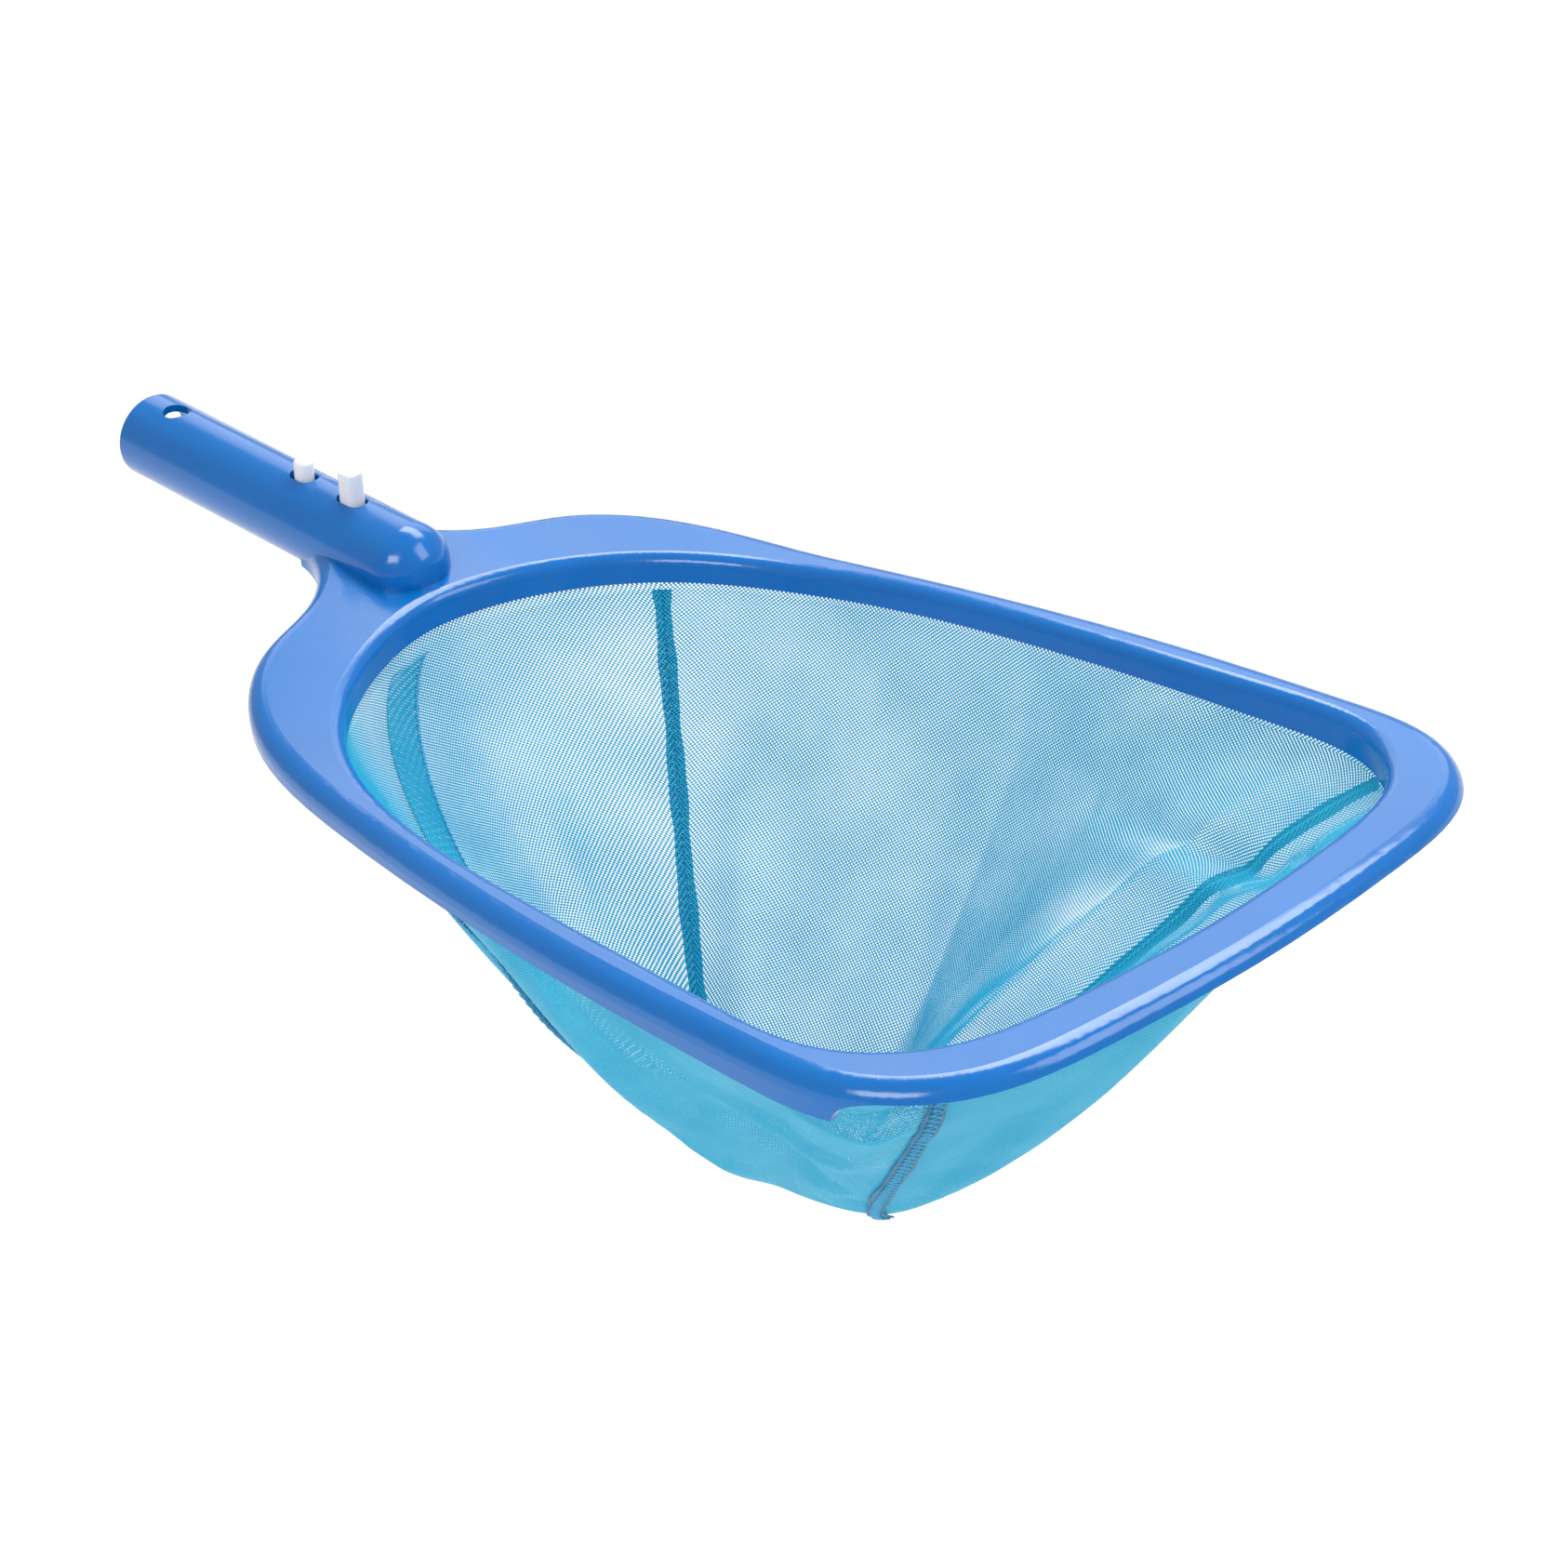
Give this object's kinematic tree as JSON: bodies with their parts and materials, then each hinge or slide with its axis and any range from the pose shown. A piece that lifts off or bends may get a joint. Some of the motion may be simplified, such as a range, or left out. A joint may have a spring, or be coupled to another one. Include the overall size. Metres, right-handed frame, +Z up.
{
  "type": "leaf skimmer net",
  "caption": "Pool leaf skimmer head: hollow handle with a sprung pole clip, domed ring with a wide front lip and a sewn mesh bag",
  "frame": {"origin": "centre of the handle's open end, where the pole slides on", "axes": "+X forward from the handle to the front lip, parallel to the ring; +Z up, square to the ring; Y across the net. The handle's axis drops 5.35 degrees from the open end towards the ring"},
  "size_m": [0.4918, 0.2417, 0.1761],
  "materials": {
    "frame_plastic": "gloss moulded, fine flow marks",
    "strip_plastic": "satin moulded",
    "button_plastic": "semi-gloss natural white",
    "clip_plastic": "satin natural white",
    "bag_mesh": "fine knitted polyester mesh",
    "hem_mesh": "doubled knitted mesh",
    "seam_mesh": "overlocked seam, doubled mesh"
  },
  "bodies": {
    "frame": {"frame_shell": "frame_plastic", "clip_base_arm": "clip_plastic", "retainer_front": "strip_plastic", "retainer_left": "strip_plastic", "retainer_rear": "strip_plastic", "retainer_right": "strip_plastic", "hem_front": "hem_mesh", "hem_left": "hem_mesh", "hem_rear": "hem_mesh", "hem_right": "hem_mesh", "bag_front_panel": "bag_mesh", "bag_left_panel": "bag_mesh", "bag_rear_panel": "bag_mesh", "bag_right_panel": "bag_mesh", "bag_bottom_panel": "bag_mesh", "seam_front_left": "seam_mesh", "seam_front_right": "seam_mesh", "seam_rear_left": "seam_mesh", "seam_rear_right": "seam_mesh", "rear_overlap_strip": "seam_mesh"},
    "button_arm": {"clip_button_arm": "clip_plastic", "lock_button": "button_plastic", "release_button": "button_plastic"}
  },
  "joints": [
    {"name": "clip_press", "type": "hinge", "parent": "frame", "child": "button_arm", "pos_m": [0.03857, 0, 0.00432], "axis": [0, 1, 0], "range_deg": [0, 7], "stiffness_Nm_per_rad": 4}
  ]
}
